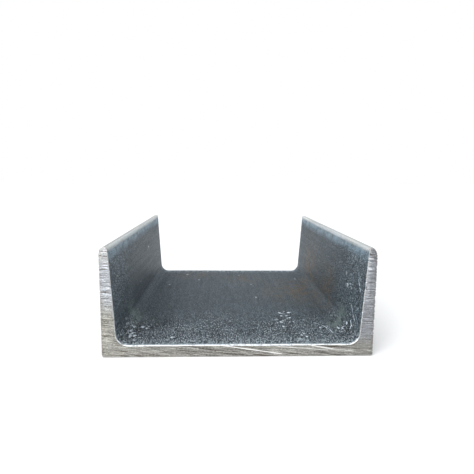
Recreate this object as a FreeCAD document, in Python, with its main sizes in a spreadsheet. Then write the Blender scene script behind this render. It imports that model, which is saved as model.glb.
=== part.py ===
"""Short cut length of hot-rolled stainless steel channel, with tapered flanges, lying on its web.

Millimetres. X runs across the web, Y along the bar and Z up from the floor.
The origin is under the middle of the bar, on the web's outer face.
"""

import FreeCAD, Part

import math
import os

import Sketcher
from FreeCAD import Vector

# Every driving size: its name in the sheet, its value in millimetres, and what it measures.
SIZES = [
    ("section_width", 140.0, "over the backs of the two flanges"),
    ("flange_height", 57.0, "from the web's outer face to the toes"),
    ("web_thickness", 6.5, "of the web, even all the way across"),
    ("flange_thickness", 6.5, "of a flange, gauged at half its height"),
    ("flange_taper", 0.064, "how much a flange thickens for each mm towards the web"),
    ("root_radius", 6.0, "of the hollow fillet between web and flange"),
    ("toe_back_radius", 3.0, "of the toe's rounding on the back of the flange"),
    ("toe_front_radius", 1.0, "of the toe's rounding on the tapered face"),
    ("heel_radius", 1.2, "of the outer corner between web and flange"),
    ("bar_length", 180.0, "between the two sawn ends"),
    ("edge_break", 0.4, "width of the filed edge round each sawn end"),
]

# The toe's two roundings never take more than these shares of its thickness, so a flat stays between them.
TOE_BACK_SHARE = 0.66
TOE_FRONT_SHARE = 0.25

# Ends of a line or an arc, as the sketcher numbers them, and the sketch's own origin and upright axis.
START, END = 1, 2
ORIGIN, UPRIGHT = -1, -2

# Two places along the bar closer than this are the same place.
SAME_PLACE = 1e-6


def add_sizes(doc):
    """Puts the driving sizes in the document's sheet and returns them by name."""
    sheet = doc.addObject("Spreadsheet::Sheet", "sizes")
    for row, (name, value, meaning) in enumerate(SIZES, start=1):
        sheet.set(f"A{row}", name)
        sheet.set(f"B{row}", str(value))
        sheet.setAlias(f"B{row}", name)
        sheet.set(f"C{row}", meaning)
    doc.recompute()
    return {name: float(sheet.get(name)) for name, _, _ in SIZES}


def own_plane(body, role):
    """The body's own origin plane with that role."""
    return next(plane for plane in body.Origin.OriginFeatures if plane.Role == role)


def half_outline(size):
    """The right half of the section as lines and arcs, anticlockwise from under the web's middle.

    The tapered face is x = face_foot + taper * z, so each arc that touches it has its centre
    one radius away, measured square to the face.
    """
    back = size["section_width"] / 2
    top = size["flange_height"]
    web = size["web_thickness"]
    taper = size["flange_taper"]
    lean = math.atan(taper)
    stretch = math.hypot(1, taper)
    face_foot = back - size["flange_thickness"] - taper * top / 2
    toe_thickness = back - (face_foot + taper * top)
    toe_back = min(size["toe_back_radius"], TOE_BACK_SHARE * toe_thickness)
    toe_front = min(size["toe_front_radius"], TOE_FRONT_SHARE * toe_thickness)
    heel, root = size["heel_radius"], size["root_radius"]

    def arc(centre_x, centre_z, radius, first, last):
        circle = Part.Circle(Vector(centre_x, centre_z, 0), Vector(0, 0, 1), radius)
        return Part.ArcOfCircle(circle, first, last)

    def line(start, end):
        return Part.LineSegment(start, end)

    front_z = top - toe_front
    front_x = face_foot + taper * front_z + toe_front * stretch
    root_z = web + root
    root_x = face_foot + taper * root_z - root * stretch

    heel_arc = arc(back - heel, heel, heel, -math.pi / 2, 0)
    toe_back_arc = arc(back - toe_back, top - toe_back, toe_back, 0, math.pi / 2)
    toe_front_arc = arc(front_x, front_z, toe_front, math.pi / 2, math.pi - lean)
    root_arc = arc(root_x, root_z, root, -math.pi / 2, -lean)
    under_middle, over_middle = Vector(0, 0, 0), Vector(0, web, 0)
    return {
        "web_outer": line(under_middle, heel_arc.StartPoint),
        "heel": heel_arc,
        "flange_back": line(heel_arc.EndPoint, toe_back_arc.StartPoint),
        "toe_back": toe_back_arc,
        "toe": line(toe_back_arc.EndPoint, toe_front_arc.StartPoint),
        "toe_front": toe_front_arc,
        "flange_front": line(root_arc.EndPoint, toe_front_arc.EndPoint),
        "root": root_arc,
        "web_inner": line(root_arc.StartPoint, over_middle),
        "middle": line(over_middle, under_middle),
    }


def draw_half_section(body, size):
    """The right half of the section as a fully constrained sketch bound to the sheet."""
    sketch = body.newObject("Sketcher::SketchObject", "half_section")
    sketch.AttachmentSupport = (own_plane(body, "XZ_Plane"), "")
    sketch.MapMode = "FlatFace"
    outline = half_outline(size)
    edge = {name: sketch.addGeometry(shape, False) for name, shape in outline.items()}
    gauge_x = size["section_width"] / 2 - size["flange_thickness"]
    gauge = Part.Point(Vector(gauge_x, size["flange_height"] / 2, 0))
    gauge_point = sketch.addGeometry(gauge, True)

    smooth_joints = [
        ("web_outer", END, "heel", START),
        ("heel", END, "flange_back", START),
        ("flange_back", END, "toe_back", START),
        ("toe_back", END, "toe", START),
        ("toe", END, "toe_front", START),
        ("toe_front", END, "flange_front", END),
        ("flange_front", START, "root", END),
        ("root", START, "web_inner", START),
    ]
    for first, first_end, second, second_end in smooth_joints:
        joint = Sketcher.Constraint("Tangent", edge[first], first_end, edge[second], second_end)
        sketch.addConstraint(joint)
    for first, second in [("web_inner", "middle"), ("middle", "web_outer")]:
        sketch.addConstraint(Sketcher.Constraint("Coincident", edge[first], END, edge[second], START))
    sketch.addConstraint(Sketcher.Constraint("Coincident", edge["web_outer"], START, ORIGIN, START))
    sketch.addConstraint(Sketcher.Constraint("PointOnObject", edge["middle"], START, UPRIGHT))
    for name in ("web_outer", "toe", "web_inner"):
        sketch.addConstraint(Sketcher.Constraint("Horizontal", edge[name]))
    sketch.addConstraint(Sketcher.Constraint("Vertical", edge["flange_back"]))
    sketch.addConstraint(Sketcher.Constraint("PointOnObject", gauge_point, START, edge["flange_front"]))

    def bind(name, formula, *parts):
        """Adds a named dimension that follows the sheet."""
        number = sketch.addConstraint(Sketcher.Constraint(*parts))
        sketch.renameConstraint(number, name)
        sketch.setExpression(f"Constraints.{name}", formula)

    half_height = size["flange_height"] / 2
    upright_angle = math.pi / 2 - math.atan(size["flange_taper"])
    toe_thickness = "(sizes.flange_thickness - sizes.flange_taper * sizes.flange_height / 2)"
    toe_back_limit = f"min(sizes.toe_back_radius; {TOE_BACK_SHARE} * {toe_thickness})"
    toe_front_limit = f"min(sizes.toe_front_radius; {TOE_FRONT_SHARE} * {toe_thickness})"
    bind("half_width", "sizes.section_width / 2",
         "DistanceX", ORIGIN, START, edge["flange_back"], START, size["section_width"] / 2)
    bind("height", "sizes.flange_height",
         "DistanceY", ORIGIN, START, edge["toe"], START, size["flange_height"])
    bind("web", "sizes.web_thickness",
         "DistanceY", ORIGIN, START, edge["middle"], START, size["web_thickness"])
    bind("gauge_height", "sizes.flange_height / 2",
         "DistanceY", ORIGIN, START, gauge_point, START, half_height)
    bind("gauge_thickness", "sizes.flange_thickness",
         "DistanceX", gauge_point, START, edge["flange_back"], END, size["flange_thickness"])
    bind("taper_angle", "90 deg - atan(sizes.flange_taper)",
         "Angle", edge["flange_front"], upright_angle)
    bind("root_fillet", "sizes.root_radius", "Radius", edge["root"], size["root_radius"])
    bind("heel_rounding", "sizes.heel_radius", "Radius", edge["heel"], size["heel_radius"])
    bind("toe_back_rounding", toe_back_limit, "Radius", edge["toe_back"], outline["toe_back"].Radius)
    bind("toe_front_rounding", toe_front_limit, "Radius", edge["toe_front"], outline["toe_front"].Radius)
    return sketch


def roll_bar(doc, body, sketch):
    """Draws the half section out to the bar's length and mirrors it into the whole channel."""
    half_bar = body.newObject("PartDesign::Pad", "half_bar")
    half_bar.Profile = sketch
    half_bar.SideType = "Symmetric"
    half_bar.setExpression("Length", "sizes.bar_length")
    doc.recompute()
    whole_bar = body.newObject("PartDesign::Mirrored", "whole_bar")
    whole_bar.Originals = [half_bar]
    whole_bar.MirrorPlane = (own_plane(body, "YZ_Plane"), [""])
    body.Tip = whole_bar
    doc.recompute()
    return whole_bar


def break_sawn_edges(doc, body, bar):
    """Files a narrow flat on every edge of the two sawn ends."""
    def lies_across(edge):
        places = [corner.Y for corner in edge.Vertexes]
        return max(places) - min(places) < SAME_PLACE

    names = [f"Edge{number}" for number, edge in enumerate(bar.Shape.Edges, start=1) if lies_across(edge)]
    filed = body.newObject("PartDesign::Chamfer", "filed_edges")
    filed.Base = (bar, names)
    filed.setExpression("Size", "sizes.edge_break")
    body.Tip = filed
    doc.recompute()
    return filed


def check(doc, bodies):
    """Stops if any object failed to build or any piece isn't one valid solid."""
    for thing in doc.Objects:
        if {"Invalid", "Error"} & set(thing.State):
            raise RuntimeError(f"{thing.Name} failed: {thing.State}")
    for body in bodies:
        shape = body.Shape
        if shape.isNull() or not shape.isValid() or len(shape.Solids) != 1:
            raise RuntimeError(f"{body.Label} is not one valid solid")
        box = shape.BoundBox
        print(f"{body.Label}: {box.XLength:.2f} x {box.YLength:.2f} x {box.ZLength:.2f} mm,"
              f" {shape.Volume:.0f} mm3, {len(shape.Faces)} faces")


def main():
    doc = FreeCAD.newDocument("steel_channel")
    size = add_sizes(doc)
    channel = doc.addObject("PartDesign::Body", "channel")
    channel.Label = "channel"
    sketch = draw_half_section(channel, size)
    doc.recompute()
    bar = roll_bar(doc, channel, sketch)
    break_sawn_edges(doc, channel, bar)
    check(doc, [channel])
    os.makedirs("parts", exist_ok=True)
    channel.Shape.exportStep(f"parts/{channel.Label}.step")


main()
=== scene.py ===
import bmesh
import bpy
import math
from mathutils import Matrix, Vector, noise


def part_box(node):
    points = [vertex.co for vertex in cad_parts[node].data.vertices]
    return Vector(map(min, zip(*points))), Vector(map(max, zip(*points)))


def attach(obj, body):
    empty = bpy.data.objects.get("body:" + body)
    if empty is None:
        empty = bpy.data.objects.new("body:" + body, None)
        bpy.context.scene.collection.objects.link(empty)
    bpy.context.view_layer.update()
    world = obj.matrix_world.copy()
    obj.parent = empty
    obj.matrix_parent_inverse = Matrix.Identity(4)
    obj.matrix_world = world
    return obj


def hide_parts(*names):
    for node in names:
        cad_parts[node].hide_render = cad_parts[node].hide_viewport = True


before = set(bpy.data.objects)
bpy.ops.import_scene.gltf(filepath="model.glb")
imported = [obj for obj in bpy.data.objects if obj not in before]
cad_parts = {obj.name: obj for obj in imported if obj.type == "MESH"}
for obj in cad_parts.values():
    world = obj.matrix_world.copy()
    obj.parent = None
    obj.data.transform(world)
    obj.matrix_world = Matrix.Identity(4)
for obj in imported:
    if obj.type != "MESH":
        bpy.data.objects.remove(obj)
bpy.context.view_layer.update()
low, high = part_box("channel")
halfWidth = high.x
height = high.z
halfLength = high.y
millimetre = 0.001


# a colour picked as 0 to 255, as a shader wants it
def paint(red, green, blue):
    def linear(value):
        share = value / 255
        return share / 12.92 if share <= 0.04045 else ((share + 0.055) / 1.055) ** 2.4
    return (linear(red), linear(green), linear(blue), 1.0)


# 0 below start, 1 above end, smooth between
def ramp(value, start, end):
    share = min(max((value - start) / (end - start), 0.0), 1.0)
    return share * share * (3 - 2 * share)


def bell(distance, reach):
    return math.exp(-(distance / reach) ** 2)


# the rolled section, and how finely the mesh is cut, in millimetres
bar = {
    "web": 6.5,
    "flange": 6.5,          # gauged at half its height
    "taper": 0.064,
    "heelRadius": 1.2,
    "rootRadius": 6.0,
    "toeBackRadius": 3.0,
    "toeFrontRadius": 1.0,
    "filedEdge": 0.4,
    "endZone": 1.3,         # depth of the finely cut zone behind a sawn end
    "innerRing": 0.85,      # depth of one more cut inside that zone
    "sawRow": 0.2,          # height of a mesh row on the sawn end
    "sawColumn": 1.1,       # width of a mesh column there
    "rolledCell": 1.5,      # mesh size on the rolled faces
}


# half the clear width between the flanges at a height, in millimetres
def flangeFace(z):
    back = halfWidth / millimetre
    middle = height / millimetre / 2
    return back - bar["flange"] + bar["taper"] * (z - middle)


# a corner of the section: where it is, how round, and in how many steps
def sectionCorners():
    back = halfWidth / millimetre
    top = height / millimetre
    right = [
        (back, 0, bar["heelRadius"], 4),
        (back, top, bar["toeBackRadius"], 7),
        (flangeFace(top), top, bar["toeFrontRadius"], 4),
        (flangeFace(bar["web"]), bar["web"], bar["rootRadius"], 10),
    ]
    left = [(-x, z, radius, segments) for x, z, radius, segments in reversed(right)]
    return right + left


def sectionOutline(mesh):
    corners = sectionCorners()
    verts = [mesh.verts.new((x, -halfLength / millimetre, z)) for x, z, radius, segments in corners]
    mesh.faces.new(verts)
    for vert, (x, z, radius, segments) in zip(verts, corners):
        sides = [edge.other_vert(vert).co - vert.co for edge in vert.link_edges]
        reach = radius / math.tan(sides[0].angle(sides[1]) / 2)
        bmesh.ops.bevel(mesh, geom=[vert], offset=reach, offset_type="OFFSET", segments=segments,
                        profile=0.5, affect="VERTICES", material=-1)


# one cut right through the faces given
def cutFaces(mesh, faces, place, direction):
    edges = {edge for face in faces for edge in face.edges}
    verts = {vert for face in faces for vert in face.verts}
    bmesh.ops.bisect_plane(mesh, geom=[*faces, *edges, *verts], dist=1e-4,
                           plane_co=place, plane_no=direction)


def steps(start, end, pitch):
    count = max(1, round((end - start) / pitch))
    return [start + (end - start) * number / count for number in range(count + 1)]


# half the bar, from the sawn end to the middle, filed round the sawn end
def drawHalfBar(mesh):
    sectionOutline(mesh)
    drawn = bmesh.ops.extrude_face_region(mesh, geom=mesh.faces[:])["geom"]
    far = [item for item in drawn if isinstance(item, bmesh.types.BMVert)]
    bmesh.ops.translate(mesh, verts=far, vec=(0, halfLength / millimetre, 0))
    bmesh.ops.recalc_face_normals(mesh, faces=mesh.faces[:])
    sawn = [face for face in mesh.faces if face.normal.y < -0.9]
    middle = [face for face in mesh.faces if face.normal.y > 0.9]
    bmesh.ops.delete(mesh, geom=middle, context="FACES_ONLY")
    rim = [edge for face in sawn for edge in face.edges]
    bmesh.ops.bevel(mesh, geom=rim, offset=bar["filedEdge"], offset_type="OFFSET", segments=2,
                    profile=0.5, affect="EDGES", material=-1, clamp_overlap=True)


# cuts the half bar finely behind the saw cut, and wider along its rolled faces
def cutHalfBar(mesh):
    length = halfLength / millimetre
    for depth in (bar["innerRing"], bar["endZone"]):
        cutFaces(mesh, mesh.faces[:], (0, depth - length, 0), (0, 1, 0))
    # until the finishes come, the material number tells the fine zone from the rest
    for face in mesh.faces:
        face.material_index = 1 if face.calc_center_median().y < bar["endZone"] - length else 0

    def zone(index):
        return [face for face in mesh.faces if face.material_index == index]

    rootTop = bar["web"] + bar["rootRadius"]
    top = height / millimetre
    for z in steps(0, top, bar["sawRow"])[1:-1]:
        cutFaces(mesh, zone(1), (0, 0, z), (0, 0, 1))
    for x in steps(-halfWidth / millimetre, halfWidth / millimetre, bar["sawColumn"])[1:-1]:
        cutFaces(mesh, zone(1), (x, 0, 0), (1, 0, 0))
    flat = flangeFace(rootTop) - bar["rootRadius"]
    for x in steps(-flat, flat, bar["rolledCell"]):
        cutFaces(mesh, zone(0), (x, 0, 0), (1, 0, 0))
    for z in steps(rootTop, top - bar["toeBackRadius"], bar["rolledCell"]):
        cutFaces(mesh, zone(0), (0, 0, z), (0, 0, 1))
    for y in steps(bar["endZone"] - length, 0, bar["rolledCell"])[1:-1]:
        cutFaces(mesh, zone(0), (0, y, 0), (0, 1, 0))


# what the saw left: its lines lie flat on the flanges and slope across the web
saw = {
    "webSlope": 0.11,        # how far the lines fall for each mm to the right
    "flangeSlope": 0.02,
    "leftTurn": 22.0,        # height where they turn level on the left flange
    "rightTurn": 9.0,        # and on the right one
    "turnReach": 3.0,
    "flangeAt": 66.0,        # how far out the lines are a flange's
    "webRun": 34.0,          # how far a line runs before it fades, on the web
    "flangeRun": 7.0,        # and on a flange
    "coarsePitch": 0.8,
    "finePitch": 0.42,
    "flangeCrowd": 1.4,      # how much closer the lines lie on the flanges
    "depth": 0.1,            # of the coarse lines
    "dish": 0.08,            # slow wander of the whole cut
    "serration": 0.55,       # how deep the lines nick the outer edges
    "rimNick": 0.45,         # the most that a nick cuts into the sawn face's rim
    "edgeWander": 0.16,
    "rubbed": (0.36, 0.24, 0.3),   # filing and painted highlight: all round, more by the root, more again along the web
    "webBurr": 0.62,         # extra width of the filed edge along the inside of the web
    "leftBurr": 0.55,        # share of it left towards the left root
    "gouges": [              # single deep cuts: start, end, half width, strength; a bright one stands proud
        ((-71, 53.0), (-67.0, 53.1), 0.2, 0.5), ((-71, 47.6), (-65.4, 47.4), 0.18, 0.35),
        ((-71, 45.9), (-67, 45.8), 0.26, 0.8), ((-70, 39.4), (-66, 39.6), 0.2, 0.3),
        ((-9, 6.3), (22, 1.5), 0.32, -1.1), ((37.5, 6.0), (49, 4.0), 0.3, -1.0),
        ((49, 4.0), (59, 2.9), 0.24, -0.6), ((-2, 4.4), (16, 2.2), 0.2, 0.7),
        ((8, 1.1), (20, 0.3), 0.26, 1.0), ((-30, 3.6), (2, 1.2), 0.22, 0.7),
        ((-42, 6.3), (-35, 6.2), 0.22, 0.9), ((-3, 6.2), (5, 6.0), 0.22, 1.0),
        ((38, 6.3), (50, 5.0), 0.2, 0.9), ((-20, 4.4), (-12, 3.6), 0.25, 0.8),
        ((20, 5.6), (46, 3.4), 0.22, -0.6), ((64, 49.5), (71, 49.2), 0.2, 0.4),
        ((66, 44.8), (71, 44.9), 0.22, 0.5), ((64, 53.5), (67, 53.4), 0.3, 0.8),
        ((64, 51.6), (67.5, 51.5), 0.3, -0.8), ((64, 46.4), (67, 46.2), 0.3, -0.7),
        ((64, 43.2), (67, 43.0), 0.3, 0.6),
    ],
}


# how level the saw's lines lie: 1 up on a flange, 0 on the web
def sawLevel(x, z):
    turn = saw["leftTurn"] + (saw["rightTurn"] - saw["leftTurn"]) * ramp(x, -saw["flangeAt"], saw["flangeAt"])
    return ramp(z, turn - saw["turnReach"], turn + saw["turnReach"])


# the height of the saw line that passes through a place on the end face
def sawLine(x, z):
    wander = 1.6 * noise.noise(Vector((x * 0.03, z * 0.05, 3.7)))
    sloped = z + saw["webSlope"] * x + wander
    side = math.copysign(saw["flangeAt"], x)
    level = z + saw["webSlope"] * side + saw["flangeSlope"] * (x - side)
    return sloped + (level - sloped) * sawLevel(x, z)


# one spacing of the saw's lines, about -1 to 1: long streaks on the web, short dashes on the flanges
def sawStreak(x, z, pitch, seed):
    line = sawLine(x, z) / pitch
    level = sawLevel(x, z)
    side = math.copysign(halfWidth / millimetre, x)
    streak = noise.noise(Vector((x / saw["webRun"], line, seed)))
    dash = noise.noise(Vector(((x - side) / saw["flangeRun"], line * saw["flangeCrowd"], seed + 31)))
    return 1.5 * (streak * (1 - level) + dash * level)


def gougeDepth(x, z):
    total = 0.0
    for start, end, halfWide, strength in saw["gouges"]:
        share = min(max((x - start[0]) / (end[0] - start[0]), 0.0), 1.0)
        line = start[1] + (end[1] - start[1]) * share
        past = abs(x - start[0] - (end[0] - start[0]) * share)
        total += strength * bell(z - line, halfWide) * bell(past, 1.0)
    return total


# how proud the metal stands between the cuts, about -1 to 1; end is -1 at the near end, 1 at the far one
def sawLines(x, z, end):
    coarse = sawStreak(x, z, saw["coarsePitch"], 11.0 * end)
    fine = sawStreak(x, z, saw["finePitch"], 7.0 * end + 2)
    gouge = gougeDepth(x, z) if end < 0 else 0.0
    return 0.4 * coarse + 0.6 * fine - 0.8 * gouge


def sawDepth(x, z, end, lines):
    dish = noise.noise(Vector((x * 0.03, z * 0.05, 5.0 * end)))
    return max(0.5 * saw["depth"] * (1 - lines) + 0.5 * saw["dish"] * (1 + dish), 0)


# marks that show in the photograph: place in millimetres, reach and strength
marks = {
    "flecks": [
        ((-58.5, -84, 6.6), 4.5, 1.1), ((-58.5, -76, 6.6), 4.0, 1.0), ((-59, -70, 6.8), 4.0, 1.1),
        ((-58.5, -65, 6.7), 4.0, 1.0), ((-54.5, -64, 6.5), 4.0, 1.0), ((-57, -59, 6.5), 3.5, 0.9),
        ((-49, -85, 6.5), 2.6, 0.9),
        ((29.5, -38, 6.5), 3.5, 0.9), ((34.5, -37, 6.5), 3.0, 0.7), ((28, -49, 6.5), 4.0, 1.0),
        ((33, -45, 6.5), 3.0, 0.8), ((31, -57, 6.5), 4.5, 1.0), ((29.7, -72, 6.5), 3.0, 1.0),
        ((35, -78, 6.5), 4.0, 1.0), ((50, -61, 6.5), 2.5, 0.7), ((62.5, -75, 12), 5.0, 0.9),
        ((62, -70, 8.5), 4.0, 0.9), ((61, -81, 8), 4.0, 0.8),
    ],
    "drags": [               # straight scratches in the trough, from and to
        ((49.8, -60.1, 6.5), (52.7, -68.2, 6.5)), ((52.7, -68.2, 6.5), (53.2, -73, 6.5)),
        ((46, -56, 6.5), (49, -59, 6.5)), ((63.2, -72, 22), (62.8, -78, 17)),
        ((64, -66, 33), (63.8, -69, 30.5)), ((64.2, -79, 38), (63.9, -84, 33)),
        ((64.1, -56.6, 37.6), (64, -57, 35.9)),
    ],
    # painted reflections of light, pale and greenish, along the roots of the flanges
    "smudges": [
        ((-62.3, -50, 10), 9.0, 0.9), ((62.3, -57, 11), 8.0, 0.9), ((59.5, -60, 7), 6.0, 0.8),
    ],
    "stains": [
        ((63, -20, 20), 14.0, 0.8), ((45, 10, 6.5), 22.0, 0.7), ((60, 40, 20), 20.0, 0.9),
        ((10, 55, 6.5), 16.0, 0.5), ((-30, 70, 6.5), 14.0, 0.6),
    ],
    "nicks": [
        ((69.1, -90, 56.1), 2.3, 0.75), ((70, -90, 31.2), 0.7, 0.9), ((70, -90, 25.6), 0.6, 0.5),
        ((70, -90, 18.2), 0.6, 0.5), ((70, -90, 13.4), 0.7, 0.6), ((70, -90, 47), 0.7, 0.4),
        ((-70, -90, 54.5), 1.0, 0.3),
    ],
}


def markAmount(kind, place):
    return sum(strength * bell((place - Vector(spot)).length, reach) for spot, reach, strength in marks[kind])


# where the finishes change, in millimetres: from and to
zones = {
    "troughDepth": (-82, -8),     # from the speckled front to the calmer back
    "toeRise": (54.5, 56.4),
    "toeSide": (66.8, 67.6),
    "frostAndReflectionReach": (0.5, 13.0),    # behind a sawn end
    "frostAndReflectionRise": (8, 14),
}


# 1 on the trough's faces, 0 on the toes and outside
def insideAmount(x, z):
    overWeb = ramp(z, bar["web"] - 0.8, bar["web"] - 0.2)
    return ramp(flangeFace(z) + 1.2 - abs(x), 0.0, 1.0) * overWeb


# 1 on the inner side of the filed edge round a sawn end, strongest along the web: filing, painted brighter as
# a highlight
def rubbedAmount(x, z):
    inner = ramp(flangeFace(z) + 0.9 - abs(x), 0, 0.3) * ramp(z, 5.7, 5.9)
    allRound, byRoot, onWeb = saw["rubbed"]
    return inner * (allRound + byRoot * (1 - ramp(z, 10, 14)) + onWeb * (1 - ramp(z, 7.6, 11.0)))


# how far a rolled face lies in from its true place, with nicks along the outer edges of a sawn end
def inwardWear(place, end, near):
    x, y, z = place
    wave = 0.5 + 0.5 * noise.noise(Vector((x, y * 0.5, z)) * 0.06)
    rolling = 0.5 + 0.5 * noise.noise(Vector((x * 0.7, y * 0.01, z * 0.7)))
    inward = 0.05 * wave + 0.02 * rolling
    if near > 0:
        nick = noise.noise(Vector((x * 0.1, sawLine(x, z) * 1.3, 4.0 * end)))
        tooth = ramp(nick - 0.1 * ramp(-x, 60, saw["flangeAt"]), 0.05, 0.5)
        outer = ramp(abs(x), 60, saw["flangeAt"])
        inward += saw["serration"] * tooth * near * outer + markAmount("nicks", place)
    return inward


# how far the filed edge reaches along the bar past its true line, ragged all round, burred on the web
def filedReach(x, z, end, rubbed):
    ragged = saw["edgeWander"] * noise.noise(Vector((x * 0.9, z * 0.9, 9.0 * end)))
    burr = saw["webBurr"] * ramp(rubbed, 0.5, 0.8) * (1 - 0.8 * ramp(z, 6.8, 8.2))
    burr *= 0.75 + 0.9 * noise.noise(Vector((x * 0.35, z, 6.0 * end)))
    burr *= saw["leftBurr"] + (1 - saw["leftBurr"]) * ramp(x, -46, -4)
    return ragged + burr


# what the finishes read at a place of the unworn bar
def paintAmounts(place, gap, lines, rubbed):
    x, y, z = place
    inside = insideAmount(x, z)
    return {
        "sawLines": lines,
        "trough": inside,
        "toeFlat": ramp(z, *zones["toeRise"]) * (1 - ramp(abs(x), *zones["toeSide"])),
        "depthIn": ramp(y, *zones["troughDepth"]),
        "frost": inside * (1 - ramp(gap, *zones["frostAndReflectionReach"])) * (1 - ramp(z, *zones["frostAndReflectionRise"])),
        "flecks": markAmount("flecks", place),
        "smudges": markAmount("smudges", place),
        "stains": markAmount("stains", place),
        "rubbed": rubbed,
    }


# moves every vertex in to its place on the worn surface, and paints what the finishes read
def wearBar(mesh):
    names = paintAmounts(Vector(), 0.0, 0.0, 0.0).keys()
    layer = {name: mesh.verts.layers.float.new(name) for name in names}
    length = halfLength / millimetre
    mesh.normal_update()
    moves = []
    for vert in mesh.verts:
        x, y, z = vert.co
        end = 1 if y > 0 else -1
        gap = length - abs(y)
        near = 1 - ramp(gap, 0.0, bar["endZone"])
        lines = sawLines(x, z, end) if near > 0 else 0.0
        move = Vector((0, 0, 0))
        if near > 0:
            move.y = -end * sawDepth(x, z, end, lines) * near

        outward = Vector((vert.normal.x, 0, vert.normal.z))
        onRim = outward.length <= 0.25
        if outward.length > 0.1:
            outward.normalize()
            inward = inwardWear(vert.co, end, near)
            move -= outward * (min(inward, saw["rimNick"]) if onRim else inward)

        rubbed = rubbedAmount(x, z)
        if 0.05 < gap < bar["endZone"] - 0.05:
            move.y -= end * filedReach(x, z, end, rubbed) * (1 - ramp(gap, 0.5, bar["endZone"]))
        moves.append(move)
        for name, amount in paintAmounts(vert.co, gap, lines, rubbed).items():
            vert[layer[name]] = amount
    for vert, move in zip(mesh.verts, moves):
        vert.co += move
        vert.co.z = max(vert.co.z, 0.0)


def buildChannel():
    mesh = bmesh.new()
    drawHalfBar(mesh)
    cutHalfBar(mesh)
    bmesh.ops.mirror(mesh, geom=[*mesh.verts, *mesh.edges, *mesh.faces], matrix=Matrix.Identity(4),
                     merge_dist=1e-4, axis="Y")
    bmesh.ops.dissolve_degenerate(mesh, dist=0.01, edges=mesh.edges[:])
    bmesh.ops.recalc_face_normals(mesh, faces=mesh.faces[:])
    length = halfLength / millimetre
    for face in mesh.faces:
        slant = abs(face.normal.y)
        nearEnd = length - abs(face.calc_center_median().y) < bar["filedEdge"]
        face.material_index = (1 if slant > 0.97 else 2) if nearEnd and slant > 0.2 else 0
        face.smooth = True
    wearBar(mesh)
    bmesh.ops.scale(mesh, vec=(millimetre,) * 3, verts=mesh.verts[:])
    data = bpy.data.meshes.new("channel_bar")
    mesh.to_mesh(data)
    triangles = sum(len(face.verts) - 2 for face in mesh.faces)
    mesh.free()
    piece = bpy.data.objects.new("channel_bar", data)
    bpy.context.scene.collection.objects.link(piece)
    print("channel meshed:", triangles, "triangles")
    return piece


# adds a node; sockets holds a value or another node's output for each input
def addNode(tree, kind, sockets, **settings):
    node = tree.nodes.new(kind)
    for name, value in settings.items():
        setattr(node, name, value)
    for key, value in sockets.items():
        if isinstance(value, bpy.types.NodeSocket):
            tree.links.new(value, node.inputs[key])
        else:
            node.inputs[key].default_value = value
    return node


def calc(tree, operation, first, second=0.0):
    return addNode(tree, "ShaderNodeMath", {0: first, 1: second}, operation=operation).outputs[0]


def plus(tree, first, *others):
    for value in others:
        first = calc(tree, "ADD", first, value)
    return first


def minus(tree, first, second):
    return calc(tree, "SUBTRACT", first, second)


def times(tree, first, *others):
    for value in others:
        first = calc(tree, "MULTIPLY", first, value)
    return first


def vectorCalc(tree, operation, first, second):
    return addNode(tree, "ShaderNodeVectorMath", {0: first, 1: second}, operation=operation).outputs[0]


def blendValues(tree, share, first, second):
    return addNode(tree, "ShaderNodeMix", {0: share, 2: first, 3: second}).outputs[0]


def blendColours(tree, share, first, second, mode="MIX"):
    sockets = {0: share, 6: first, 7: second}
    return addNode(tree, "ShaderNodeMix", sockets, data_type="RGBA", blend_type=mode).outputs[2]


def spread(tree, value, fromLow, fromHigh, toLow=0.0, toHigh=1.0):
    sockets = {"Value": value, "From Min": fromLow, "From Max": fromHigh, "To Min": toLow, "To Max": toHigh}
    return addNode(tree, "ShaderNodeMapRange", sockets, interpolation_type="SMOOTHSTEP").outputs[0]


# from one end of a pair to the other as the share goes from 0 to 1
def between(tree, share, pair):
    return spread(tree, share, 0.0, 1.0, pair[0], pair[1])


# three colours over 0 to 1, the middle one at 0.5
def threeTones(tree, value, dark, middle, pale):
    colour = blendColours(tree, spread(tree, value, 0.0, 0.5), dark, middle)
    return blendColours(tree, spread(tree, value, 0.5, 1.0), colour, pale)


def darken(tree, colour, shade):
    grey = addNode(tree, "ShaderNodeCombineColor", {0: shade, 1: shade, 2: shade}).outputs[0]
    return blendColours(tree, 1.0, colour, grey, "MULTIPLY")


def noiseValue(tree, vector, scale, detail=2.0, roughness=0.5):
    sockets = {"Vector": vector, "Scale": scale, "Detail": detail, "Roughness": roughness}
    return addNode(tree, "ShaderNodeTexNoise", sockets).outputs[0]


def stretched(tree, vector, turn, size):
    sockets = {"Vector": vector, "Rotation": turn, "Scale": size}
    return addNode(tree, "ShaderNodeMapping", sockets, vector_type="TEXTURE").outputs[0]


def painted(tree, name):
    return addNode(tree, "ShaderNodeAttribute", {}, attribute_name=name).outputs["Fac"]


# a shared effect: its inputs as (name, kind, value), its outputs as names of masks
def startGroup(name, inputs, outputs):
    tree = bpy.data.node_groups.new(name, "ShaderNodeTree")
    for label, kind, value in inputs:
        socket = tree.interface.new_socket(label, in_out="INPUT", socket_type=kind)
        if value is not None:
            socket.default_value = value
    for label in outputs:
        tree.interface.new_socket(label, in_out="OUTPUT", socket_type="NodeSocketFloat")
    given = tree.nodes.new("NodeGroupInput").outputs
    return tree, given


def endGroup(tree, results):
    addNode(tree, "NodeGroupOutput", results)
    return tree


# specks of the metal's grain, each output about 0.5 on average; Size is a speck's size each way in mm
def makeGrain():
    inputs = [("Place", "NodeSocketVector", None), ("Size", "NodeSocketVector", None)]
    tree, given = startGroup("metal grain", inputs, ["Coarse", "Fine"])
    place = vectorCalc(tree, "DIVIDE", given["Place"], given["Size"])
    coarse = noiseValue(tree, place, 0.27, 2.0, 0.5)
    fine = noiseValue(tree, place, 1.0, 1.0, 0.5)
    return endGroup(tree, {"Coarse": coarse, "Fine": fine})


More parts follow.
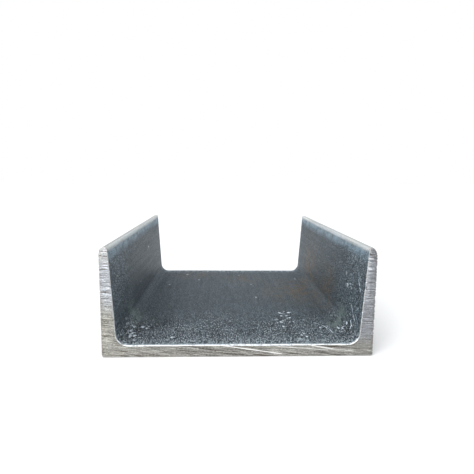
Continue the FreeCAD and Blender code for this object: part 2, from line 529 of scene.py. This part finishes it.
# thin broken scratches that run along the X of the place given
def makeScratches():
    inputs = [("Place", "NodeSocketVector", None), ("Turn", "NodeSocketVector", None),
              ("Length", "NodeSocketFloat", 9.0), ("Pitch", "NodeSocketFloat", 1.2),
              ("Amount", "NodeSocketFloat", 0.5)]
    tree, given = startGroup("hair scratches", inputs, ["Mask"])
    size = addNode(tree, "ShaderNodeCombineXYZ", {0: given["Length"], 1: given["Pitch"], 2: given["Pitch"]})
    place = stretched(tree, given["Place"], given["Turn"], size.outputs[0])
    lines = noiseValue(tree, place, 1.0, 1.0, 0.4)
    offLine = calc(tree, "ABSOLUTE", minus(tree, lines, 0.5))
    thin = spread(tree, offLine, 0.0, 0.035, 1.0, 0.0)
    breaks = noiseValue(tree, place, 2.3, 2.0, 0.5)
    least = minus(tree, 0.75, times(tree, given["Amount"], 0.4))
    shown = spread(tree, minus(tree, breaks, least), 0.0, 0.08)
    return endGroup(tree, {"Mask": times(tree, thin, shown)})


# a round-edged blotch field for grime and tarnish, 0 to 1
def makeBlotches():
    inputs = [("Place", "NodeSocketVector", None), ("Size", "NodeSocketFloat", 12.0),
              ("Cover", "NodeSocketFloat", 0.4)]
    tree, given = startGroup("blotches", inputs, ["Mask"])
    size = addNode(tree, "ShaderNodeCombineXYZ", {0: given["Size"], 1: given["Size"], 2: given["Size"]})
    cloud = noiseValue(tree, vectorCalc(tree, "DIVIDE", given["Place"], size.outputs[0]), 1.0, 4.0, 0.55)
    edge = minus(tree, 0.72, times(tree, given["Cover"], 0.44))
    return endGroup(tree, {"Mask": spread(tree, minus(tree, cloud, edge), 0.0, 0.16)})


# a straight mark between two places, in millimetres, as far out to each side as its reach
def lineMark(tree, place, start, end, reach):
    run = Vector(end) - Vector(start)
    off = vectorCalc(tree, "SUBTRACT", place, start)
    sockets = {0: off, 1: run / run.length_squared}
    along = addNode(tree, "ShaderNodeVectorMath", sockets, operation="DOT_PRODUCT").outputs["Value"]
    share = addNode(tree, "ShaderNodeClamp", {"Value": along}).outputs[0]
    foot = addNode(tree, "ShaderNodeVectorMath", {0: run, "Scale": share}, operation="SCALE").outputs[0]
    gap = addNode(tree, "ShaderNodeVectorMath", {0: off, 1: foot}, operation="DISTANCE").outputs["Value"]
    return spread(tree, gap, 0.4 * reach, reach, 1.0, 0.0)


def useGroup(tree, group, sockets):
    return addNode(tree, "ShaderNodeGroup", sockets, node_tree=group)


def startMaterial(name):
    material = bpy.data.materials.new(name)
    material.use_nodes = True
    tree = material.node_tree
    tree.nodes.clear()
    place = addNode(tree, "ShaderNodeTexCoord", {}).outputs["Object"]
    place = addNode(tree, "ShaderNodeVectorMath", {0: place, "Scale": 1 / millimetre}, operation="SCALE")
    return material, tree, place.outputs[0]


def endMaterial(tree, colour, roughness, metal, relief, reliefDepth):
    bump = addNode(tree, "ShaderNodeBump", {"Height": relief, "Distance": reliefDepth * millimetre})
    shader = addNode(tree, "ShaderNodeBsdfPrincipled", {
        "Base Color": colour, "Roughness": roughness, "Metallic": metal, "Normal": bump.outputs[0]})
    addNode(tree, "ShaderNodeOutputMaterial", {"Surface": shader.outputs[0]})


# hot-rolled and pickled skin: speckled, darkened in the trough as painted shade, beige outside, and painted
# pale on the toes as lit from above
rolled = {
    # painted shade: the trough's three tones are the skin darkened as if in shade
    "troughDark": paint(36, 45, 52),
    "trough": paint(75, 86, 93),
    "troughPale": paint(112, 125, 133),
    "sparkle": paint(228, 237, 243),
    "outsideDark": paint(148, 145, 138),
    "outside": paint(166, 162, 155),
    "outsidePale": paint(184, 181, 174),
    # painted light: the toe tops paler than the outside where the light falls on them
    "toe": paint(234, 233, 227),
    # painted skylight on the flanges' inner faces just under the toes
    "underToe": paint(142, 166, 181),
    "toeCornerHighlight": paint(226, 233, 236),
    "flangeShade": paint(214, 223, 227),   # painted shade: darkens and cools the trough's tones up the flanges
    # frost from the filing, painted brighter as a reflection of the light from the front
    "frost": paint(200, 213, 221),
    # painted highlight on the pocks' rims, and the colour of the pale drag scratches
    "fleck": paint(232, 245, 255),
    # near black: the pores, and the painted shade in the pocks' dents
    "pit": paint(14, 18, 22),
    # painted reflection along the roots
    "smudge": paint(122, 137, 134),
    "stain": paint(118, 94, 62),
    "scratch": paint(170, 184, 194),
    # sizes in mm: across, along and up
    "speck": (0.62, 2.2, 0.62),
    "flangeSpeck": (0.8, 2.0, 1.1),
    "sparkleSize": (0.5, 1.7, 0.5),
    "patchSize": (16.0, 34.0, 16.0),
    "streakSize": (1.4, 46.0, 1.4),
    "pockSize": (2.5, 4.0, 2.5),
    "dentShift": (0.1, -0.3, -0.1),   # off a pock's middle, in shares of its size
    # sizes in mm, the same each way
    "pockBend": 1.6,                  # how far a pock's outline wanders
    "cloudSize": 18.0,
    "stainSize": 7.0,
    "dragReach": 0.5,
    # heights in mm, from and to
    "rootRise": (7.5, 12.5),
    "flangeShadeRise": (8.0, 20.0),
    "skylitUnderToeRise": (48.0, 54.0),
    "toeCornerHighlightRise": (54.6, 55.6),
    "rimRise": (6.8, 8.5),
    # at the front of the trough and at its back
    "contrast": (1.0, 0.5),
    "shade": (1.0, 0.92),
    "pore": (0.6, 0.1),
    "sparkleFrom": (0.565, 0.62),
    "sparkleShow": (0.95, 0.26),
    "grainRelief": (2.4, 1.7),
    # on the web and up a flange
    "flangeContrast": (1.0, 0.55),
    "flangePore": (1.0, 0.5),
    "flangeSparkle": (1.0, 0.7),
    "flangeRelief": (1.0, 0.6),
    "hairShow": (0.4, 0.65),
    "pockShare": (0.007, 0.0014),
    # outside and in the trough
    "metal": (0.9, 0.55),
    "roughness": (0.33, 0.46),
    "troughRelief": (0.1, 1.0),
    "steepHair": {"Turn": (0.5, 1.1, 0.4), "Length": 9.0, "Pitch": 0.9, "Amount": 0.95},
    "lyingHair": {"Turn": (0, 0.1, 1.3), "Length": 14.0, "Pitch": 1.6, "Amount": 0.4},
    "relief": 0.3,
}


def blotchMask(tree, blotches, place, size, cover):
    return useGroup(tree, blotches, {"Place": place, "Size": size, "Cover": cover}).outputs[0]


# the masks that the layers of the rolled finish share
def rolledMasks(tree, place, grain, blotches):
    names = ("trough", "toeFlat", "depthIn", "frost", "flecks", "smudges", "stains")
    mask = {name: painted(tree, name) for name in names}
    mask["height"] = addNode(tree, "ShaderNodeSeparateXYZ", {0: place}).outputs[2]
    mask["upright"] = spread(tree, mask["height"], *rolled["rootRise"])
    onWeb = useGroup(tree, grain, {"Place": place, "Size": rolled["speck"]}).outputs
    onFlange = useGroup(tree, grain, {"Place": place, "Size": rolled["flangeSpeck"]}).outputs
    mask["webFine"] = onWeb["Fine"]
    mask["fine"] = blendValues(tree, mask["upright"], onWeb["Fine"], onFlange["Fine"])
    mask["coarse"] = blendValues(tree, mask["upright"], onWeb["Coarse"], onFlange["Coarse"])
    mask["sparkle"] = useGroup(tree, grain, {"Place": place, "Size": rolled["sparkleSize"]}).outputs["Fine"]
    mask["cloud"] = blotchMask(tree, blotches, place, rolled["cloudSize"], 0.5)
    mask["patch"] = noiseValue(tree, stretched(tree, place, (0, 0, 0), rolled["patchSize"]), 1.0, 3.0, 0.6)
    mask["streak"] = noiseValue(tree, stretched(tree, place, (0, 0, 0), rolled["streakSize"]), 1.0, 2.0, 0.5)
    return mask


# the trough's skin: specks that even out up the flanges and away from the front, pores, sparkles painted as
# glints, painted shade up the flanges and a painted sky-lit band under the toes
def troughSkin(tree, mask):
    mottle = plus(tree, times(tree, mask["fine"], 0.6), times(tree, mask["coarse"], 0.2),
                  times(tree, mask["patch"], 0.2))
    mottle = spread(tree, mottle, 0.385, 0.635)
    contrast = times(tree, between(tree, mask["upright"], rolled["flangeContrast"]),
                     between(tree, mask["depthIn"], rolled["contrast"]))
    mottle = blendValues(tree, contrast, 0.5, mottle)
    colour = threeTones(tree, mottle, rolled["troughDark"], rolled["trough"], rolled["troughPale"])

    pore = times(tree, spread(tree, mask["sparkle"], 0.3, 0.42, 1.0, 0.0),
                 between(tree, mask["depthIn"], rolled["pore"]),
                 between(tree, mask["upright"], rolled["flangePore"]))
    colour = blendColours(tree, pore, colour, rolled["pit"])
    least = plus(tree, between(tree, mask["depthIn"], rolled["sparkleFrom"]),
                 times(tree, mask["cloud"], 0.05))
    sparkle = times(tree, spread(tree, minus(tree, mask["sparkle"], least), 0.0, 0.09),
                    between(tree, mask["depthIn"], rolled["sparkleShow"]),
                    between(tree, mask["upright"], rolled["flangeSparkle"]))
    colour = blendColours(tree, sparkle, colour, rolled["sparkle"])
    colour = darken(tree, colour, between(tree, mask["depthIn"], rolled["shade"]))
    # painted shade, darker and cooler up the flanges
    upFlange = spread(tree, mask["height"], *rolled["flangeShadeRise"])
    colour = blendColours(tree, upFlange, colour, rolled["flangeShade"], "MULTIPLY")
    # painted skylight: a paler bluish band under the toes
    underToe = times(tree, spread(tree, mask["height"], *rolled["skylitUnderToeRise"]),
                     spread(tree, mask["coarse"], 0.36, 0.62, 0.4, 1.0))
    return blendColours(tree, underToe, colour, rolled["underToe"]), mottle


# beige streaks along the outside, and toe tops painted pale as lit from above
def outsideSkin(tree, mask, mottle, streaks):
    tone = plus(tree, times(tree, mottle, 0.35), times(tree, streaks, 0.4),
                spread(tree, mask["patch"], 0.35, 0.65, 0.0, 0.25))
    colour = threeTones(tree, tone, rolled["outsideDark"], rolled["outside"], rolled["outsidePale"])
    toe = times(tree, mask["toeFlat"], spread(tree, mask["streak"], 0.3, 0.5, 0.75, 1.0))
    return blendColours(tree, toe, colour, rolled["toe"]), toe


def joinSkins(tree, mask, outer, inner, toe):
    colour = blendColours(tree, times(tree, mask["trough"], minus(tree, 1.0, toe)), outer, inner)
    # painted highlight along the inner corner of each toe
    corner = times(tree, mask["trough"], spread(tree, mask["height"], *rolled["toeCornerHighlightRise"]),
                   spread(tree, mask["patch"], 0.4, 0.6, 0.15, 0.75))
    colour = blendColours(tree, corner, colour, rolled["toeCornerHighlight"])
    return darken(tree, colour, between(tree, mask["cloud"], (1.0, 0.96)))


# brown stains, and painted reflections of light along the roots
def addStains(tree, place, mask, blotches, colour):
    smudge = times(tree, mask["smudges"], spread(tree, mask["coarse"], 0.36, 0.56),
                   spread(tree, mask["patch"], 0.35, 0.6, 0.6, 1.0), mask["trough"])
    colour = blendColours(tree, smudge, colour, rolled["smudge"])
    stain = times(tree, mask["stains"], mask["trough"],
                  blotchMask(tree, blotches, place, rolled["stainSize"], 0.75),
                  spread(tree, mask["streak"], 0.3, 0.6, 0.3, 0.75))
    return blendColours(tree, stain, colour, rolled["stain"])


# pale specks behind a sawn end, frosted by the filing and painted brighter as a reflection of the light from
# the front, closing to a pale rim at the filed edge
def addFrost(tree, mask, colour):
    specks = times(tree, mask["frost"], spread(tree, mask["fine"], 0.46, 0.62, 0.0, 0.8))
    rim = times(tree, spread(tree, mask["frost"], 0.9, 1.0, 0.0, 0.75),
                spread(tree, mask["height"], *rolled["rimRise"], 1.0, 0.2))
    return blendColours(tree, calc(tree, "MAXIMUM", specks, rim), colour, rolled["frost"])


# pocks: a dent painted dark as shade, with a rim behind it painted bright as a highlight, longer along the
# bar
def addPocks(tree, place, mask, colour):
    bend = addNode(tree, "ShaderNodeTexNoise", {"Vector": place, "Scale": 0.8, "Detail": 1.0})
    sockets = {0: bend.outputs["Color"], "Scale": rolled["pockBend"]}
    bent = addNode(tree, "ShaderNodeVectorMath", sockets, operation="SCALE").outputs[0]
    pockPlace = stretched(tree, vectorCalc(tree, "ADD", place, bent), (0, 0, 0.5), rolled["pockSize"])
    cells = addNode(tree, "ShaderNodeTexVoronoi", {"Vector": pockPlace, "Scale": 1.0})
    chance = addNode(tree, "ShaderNodeSeparateColor", {0: cells.outputs["Color"]}).outputs
    amount = plus(tree, mask["flecks"], between(tree, mask["upright"], rolled["pockShare"]))
    isPock = times(tree, calc(tree, "LESS_THAN", chance[0], times(tree, amount, 0.95)), mask["trough"])
    reach = between(tree, chance[1], (0.3, 0.56))
    fromMiddle = vectorCalc(tree, "SUBTRACT", pockPlace, cells.outputs["Position"])
    dentGap = addNode(tree, "ShaderNodeVectorMath", {0: fromMiddle, 1: rolled["dentShift"]},
                      operation="DISTANCE").outputs["Value"]
    inPock = spread(tree, minus(tree, reach, cells.outputs["Distance"]), 0.0, 0.12)
    inDent = spread(tree, minus(tree, times(tree, reach, 0.85), dentGap), 0.0, 0.16)
    fleck = times(tree, inPock, isPock, minus(tree, 1.0, inDent))
    dent = times(tree, inDent, isPock)
    # painted shade: darker round the clusters of pocks
    colour = darken(tree, colour, between(tree, mask["flecks"], (1.0, 0.7)))
    colour = blendColours(tree, times(tree, dent, 0.9), colour, rolled["pit"])
    shine = times(tree, fleck, between(tree, chance[2], (0.72, 1.0)))
    return blendColours(tree, shine, colour, rolled["fleck"]), fleck, dent


# hair scratches all over, and the long ones that show in the photograph
def addScratches(tree, place, mask, scratches, colour):
    steep = useGroup(tree, scratches, {"Place": place, **rolled["steepHair"]}).outputs[0]
    lying = useGroup(tree, scratches, {"Place": place, **rolled["lyingHair"]}).outputs[0]
    hair = calc(tree, "MAXIMUM", steep, lying)
    drag = 0.0
    for start, end in marks["drags"]:
        drag = calc(tree, "MAXIMUM", drag, lineMark(tree, place, start, end, rolled["dragReach"]))
    drag = times(tree, drag, spread(tree, mask["webFine"], 0.32, 0.48))
    colour = blendColours(tree, drag, colour, rolled["fleck"])
    hairTone = times(tree, hair, between(tree, mask["upright"], rolled["hairShow"]))
    return blendColours(tree, hairTone, colour, rolled["scratch"]), hair


def rolledRelief(tree, mask, mottle, dent, hair):
    relief = plus(tree, mottle, times(tree, mask["sparkle"], 1.2))
    relief = times(tree, relief, between(tree, mask["depthIn"], rolled["grainRelief"]),
                   between(tree, mask["trough"], rolled["troughRelief"]),
                   between(tree, mask["upright"], rolled["flangeRelief"]))
    relief = minus(tree, relief, times(tree, dent, 0.4))
    return minus(tree, relief, times(tree, hair, 0.6))


def makeRolledFinish(grain, scratches, blotches):
    material, tree, place = startMaterial("rolled finish")
    mask = rolledMasks(tree, place, grain, blotches)
    streaks = spread(tree, mask["streak"], 0.34, 0.66)
    inner, mottle = troughSkin(tree, mask)
    outer, toe = outsideSkin(tree, mask, mottle, streaks)
    colour = joinSkins(tree, mask, outer, inner, toe)
    colour = addStains(tree, place, mask, blotches, colour)
    colour = addFrost(tree, mask, colour)
    colour, fleck, dent = addPocks(tree, place, mask, colour)
    colour, hair = addScratches(tree, place, mask, scratches, colour)
    roughness = plus(tree, between(tree, mask["trough"], rolled["roughness"]), times(tree, streaks, 0.08))
    roughness = minus(tree, roughness, times(tree, fleck, 0.2))
    metal = minus(tree, between(tree, mask["trough"], rolled["metal"]), times(tree, fleck, 0.5))
    relief = rolledRelief(tree, mask, mottle, dent, hair)
    endMaterial(tree, colour, roughness, metal, relief, rolled["relief"])
    return material


# bright saw cut: streaks along the saw's lines, painted dark as shade in the grooves and bright as highlights
# on the ridges
sawn = {
    "grooveShade": paint(94, 84, 75),
    "flat": paint(178, 179, 179),
    "ridgeHighlight": paint(255, 255, 255),
    "leftToe": paint(255, 255, 255),      # these six multiply the streaks, with painted sheen where the saw's marks catch the light
    "leftTop": paint(232, 235, 241),
    "leftLow": paint(203, 200, 191),
    "web": paint(190, 187, 180),
    "right": paint(188, 190, 195),
    "rightInner": paint(222, 225, 232),
    "edge": paint(216, 211, 205),         # and this one along the outer edges
    "speck": (0.9, 0.9, 0.36),
    "hairPitch": 0.32,
    "webHair": 8.0,                       # how far a hair line runs
    "flangeHair": 5.0,
    "lineShare": 0.45,                    # how much the cut lines show, then the hair lines and the specks
    "hairShare": 1.8,
    "speckShare": 1.2,
    "rightCalm": 0.72,                    # share of all three left on the right flange
    "gougeShare": 0.4,
    "metal": 0.7,
    "roughness": 0.36,
    "relief": 0.04,
}


# how bright and how warm each stretch of the end face is: the saw's marks, with painted sheen where they
# catch the light, brightest up the left flange
def sawnTint(tree, x, z, worn):
    left = spread(tree, x, -66.0, -38.0, 1.0, 0.0)
    right = spread(tree, x, 58.0, 64.0)
    up = spread(tree, z, 20.0, 34.0)
    tint = blendColours(tree, left, sawn["web"], sawn["leftLow"])
    upper = blendColours(tree, spread(tree, z, 46.0, 53.0), sawn["leftTop"], sawn["leftToe"])
    tint = blendColours(tree, times(tree, left, up), tint, upper)
    tint = blendColours(tree, times(tree, right, spread(tree, z, 4.0, 14.0)), tint, sawn["right"])
    rightInner = times(tree, spread(tree, x, 65.6, 67.2, 1.0, 0.0), spread(tree, z, 24.0, 34.0))
    tint = blendColours(tree, times(tree, right, rightInner), tint, sawn["rightInner"])
    outer = spread(tree, calc(tree, "ABSOLUTE", x), 67.9, 69.7)
    outer = times(tree, outer, spread(tree, worn, 0.36, 0.56))
    return blendColours(tree, outer, tint, blendColours(tree, 1.0, tint, sawn["edge"], "MULTIPLY"))


# hair lines between the cut ones, turning as those do
def sawnHair(tree, x, z):
    turn = spread(tree, x, -saw["flangeAt"], saw["flangeAt"], saw["leftTurn"], saw["rightTurn"])
    level = spread(tree, minus(tree, z, turn), -saw["turnReach"], saw["turnReach"])

    def hairLines(run, line, seed):
        across = calc(tree, "DIVIDE", x, run)
        up = calc(tree, "DIVIDE", line, sawn["hairPitch"])
        spot = addNode(tree, "ShaderNodeCombineXYZ", {0: across, 1: up, 2: seed}).outputs[0]
        return noiseValue(tree, spot, 1.0, 1.0, 0.5)

    onWeb = hairLines(sawn["webHair"], plus(tree, z, times(tree, x, saw["webSlope"])), 0.0)
    onFlange = hairLines(sawn["flangeHair"], times(tree, z, saw["flangeCrowd"]), 9.0)
    return blendValues(tree, level, onWeb, onFlange)


# the single deep cuts of the near end: above 0 where one stands proud
def sawnGouges(tree, x, y, z):
    onFace = addNode(tree, "ShaderNodeCombineXYZ", {0: x, 2: z}).outputs[0]
    cuts = 0.0
    for start, end, halfWide, strength in saw["gouges"]:
        mark = lineMark(tree, onFace, (start[0], 0, start[1]), (end[0], 0, end[1]), halfWide)
        cuts = plus(tree, cuts, times(tree, mark, -sawn["gougeShare"] * strength))
    return times(tree, cuts, calc(tree, "LESS_THAN", y, 0.0))


def makeSawnFinish(grain):
    material, tree, place = startMaterial("sawn finish")
    x, y, z = addNode(tree, "ShaderNodeSeparateXYZ", {0: place}).outputs
    specks = useGroup(tree, grain, {"Place": place, "Size": sawn["speck"]}).outputs
    lines = times(tree, painted(tree, "sawLines"), sawn["lineShare"])
    hair = times(tree, minus(tree, sawnHair(tree, x, z), 0.5), sawn["hairShare"])
    fine = times(tree, minus(tree, specks["Fine"], 0.5), sawn["speckShare"])
    calm = spread(tree, x, 56.0, 64.0, 1.0, sawn["rightCalm"])
    cuts = sawnGouges(tree, x, y, z)
    tone = plus(tree, 0.5, times(tree, plus(tree, lines, hair, fine), calm), cuts)
    colour = threeTones(tree, tone, sawn["grooveShade"], sawn["flat"], sawn["ridgeHighlight"])
    colour = blendColours(tree, 1.0, colour, sawnTint(tree, x, z, specks["Coarse"]), "MULTIPLY")
    colour = blendColours(tree, spread(tree, cuts, 0.0, 0.4, 0.0, 0.6), colour, sawn["ridgeHighlight"])
    roughness = between(tree, tone, (sawn["roughness"] + 0.12, sawn["roughness"] - 0.08))
    endMaterial(tree, colour, roughness, sawn["metal"], tone, sawn["relief"])
    return material


# the bright line where the inner edge was filed, painted brighter as an edge highlight; the outer edges stay
# as dull as the saw cut
filed = {
    "bright": paint(236, 242, 246),
    "worn": paint(176, 178, 180),
    "dull": paint(176, 174, 170),
    "speck": (1.1, 1.1, 1.1),
    "fineBreaks": 1.6,            # how far the specks break the line up
    "coarseBreaks": 1.0,
    "metal": 0.7,
    "roughness": 0.34,
    "relief": 0.03,
}


def makeFiledFinish(grain):
    material, tree, place = startMaterial("filed edge")
    specks = useGroup(tree, grain, {"Place": place, "Size": filed["speck"]}).outputs
    fine = times(tree, minus(tree, specks["Fine"], 0.5), filed["fineBreaks"])
    coarse = times(tree, minus(tree, specks["Coarse"], 0.5), filed["coarseBreaks"])
    share = plus(tree, painted(tree, "rubbed"), plus(tree, fine, coarse))
    colour = threeTones(tree, share, filed["dull"], filed["worn"], filed["bright"])
    roughness = spread(tree, specks["Fine"], 0.3, 0.7, filed["roughness"], filed["roughness"] + 0.15)
    endMaterial(tree, colour, roughness, filed["metal"], specks["Fine"], filed["relief"])
    return material


# camera fitted to the end face in the photograph, whose frame is 474 pixels square
view = {
    "place": (-0.0107, -0.3032, 0.0920),
    "pitch": 7.9,            # degrees down
    "yaw": 2.44,             # degrees to the right
    "roll": 0.59,
    "focalPixels": 434.9,
    "framePixels": 474,
    "sensor": 36.0,
}


def makeCamera():
    data = bpy.data.cameras.new("camera")
    data.sensor_width = view["sensor"]
    data.lens = view["sensor"] * view["focalPixels"] / view["framePixels"]
    data.clip_start = 0.01
    camera = bpy.data.objects.new("camera", data)
    bpy.context.scene.collection.objects.link(camera)
    yaw, pitch, roll = (math.radians(view[name]) for name in ("yaw", "pitch", "roll"))
    level = Vector((math.sin(yaw), math.cos(yaw), 0))
    ahead = level * math.cos(pitch) - Vector((0, 0, math.sin(pitch)))
    side = Vector((math.cos(yaw), -math.sin(yaw), 0))
    up = side.cross(ahead)
    right = side * math.cos(roll) + up * math.sin(roll)
    top = up * math.cos(roll) - side * math.sin(roll)
    turn = Matrix((right, top, -ahead)).transposed().to_4x4()
    camera.matrix_world = Matrix.Translation(view["place"]) @ turn
    bpy.context.scene.camera = camera


# soft studio light: a white room, a wide soft light from above and a panel at the front left
lights = {
    "room": (0.9, 0.95, 1.0, 1.0),
    "roomStrength": 0.62,
    "backdrop": (1.0, 1.0, 1.0, 1.0),
    "skylight": {"watts": 2.2, "angle": 70.0, "from": (-0.25, -0.35, 1.0), "colour": (1.0, 0.99, 0.97)},
    "leftPanel": {"place": (-0.45, -0.7, 0.4), "aim": (-0.06, -0.09, 0.04), "size": 0.45, "watts": 3.5,
                  "colour": (0.96, 0.98, 1.0)},
}


def makeRoom():
    world = bpy.data.worlds.new("studio")
    bpy.context.scene.world = world
    world.use_nodes = True
    tree = world.node_tree
    tree.nodes.clear()
    look = {"Color": lights["room"], "Strength": lights["roomStrength"]}
    room = addNode(tree, "ShaderNodeBackground", look)
    backdrop = addNode(tree, "ShaderNodeBackground", {"Color": lights["backdrop"]})
    seen = addNode(tree, "ShaderNodeLightPath", {}).outputs["Is Camera Ray"]
    mix = addNode(tree, "ShaderNodeMixShader", {0: seen, 1: room.outputs[0], 2: backdrop.outputs[0]})
    addNode(tree, "ShaderNodeOutputWorld", {"Surface": mix.outputs[0]})
    bpy.context.scene.view_settings.view_transform = "Standard"


def addLamp(name, kind, place, aim, look):
    data = bpy.data.lights.new(name, kind)
    data.energy = look["watts"]
    data.color = look["colour"]
    lamp = bpy.data.objects.new(name, data)
    bpy.context.scene.collection.objects.link(lamp)
    toward = Vector(aim) - Vector(place)
    lamp.matrix_world = Matrix.Translation(place) @ toward.to_track_quat("-Z", "Y").to_matrix().to_4x4()
    return data


def makeLights():
    makeRoom()
    sky = lights["skylight"]
    addLamp("skylight", "SUN", sky["from"], (0, 0, 0), sky).angle = math.radians(sky["angle"])
    panel = lights["leftPanel"]
    lamp = addLamp("leftPanel", "AREA", panel["place"], panel["aim"], panel)
    lamp.shape = "DISK"
    lamp.size = panel["size"]


floorLook = {"radius": 6.0, "colour": paint(246, 246, 246), "roughness": 0.7}


def makeFloor():
    mesh = bmesh.new()
    bmesh.ops.create_circle(mesh, cap_ends=True, segments=64, radius=floorLook["radius"])
    data = bpy.data.meshes.new("studio_floor")
    mesh.to_mesh(data)
    mesh.free()
    floor = bpy.data.objects.new("studio_floor", data)
    bpy.context.scene.collection.objects.link(floor)
    material = bpy.data.materials.new("studio floor")
    material.use_nodes = True
    shader = material.node_tree.nodes["Principled BSDF"]
    shader.inputs["Base Color"].default_value = floorLook["colour"]
    shader.inputs["Roughness"].default_value = floorLook["roughness"]
    data.materials.append(material)


channel = buildChannel()
grain = makeGrain()
scratches = makeScratches()
blotches = makeBlotches()
for finish in (makeRolledFinish(grain, scratches, blotches), makeSawnFinish(grain), makeFiledFinish(grain)):
    channel.data.materials.append(finish)
print("finishes made")
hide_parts("channel")
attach(channel, "root")

makeFloor()
makeLights()
makeCamera()
print("studio ready")
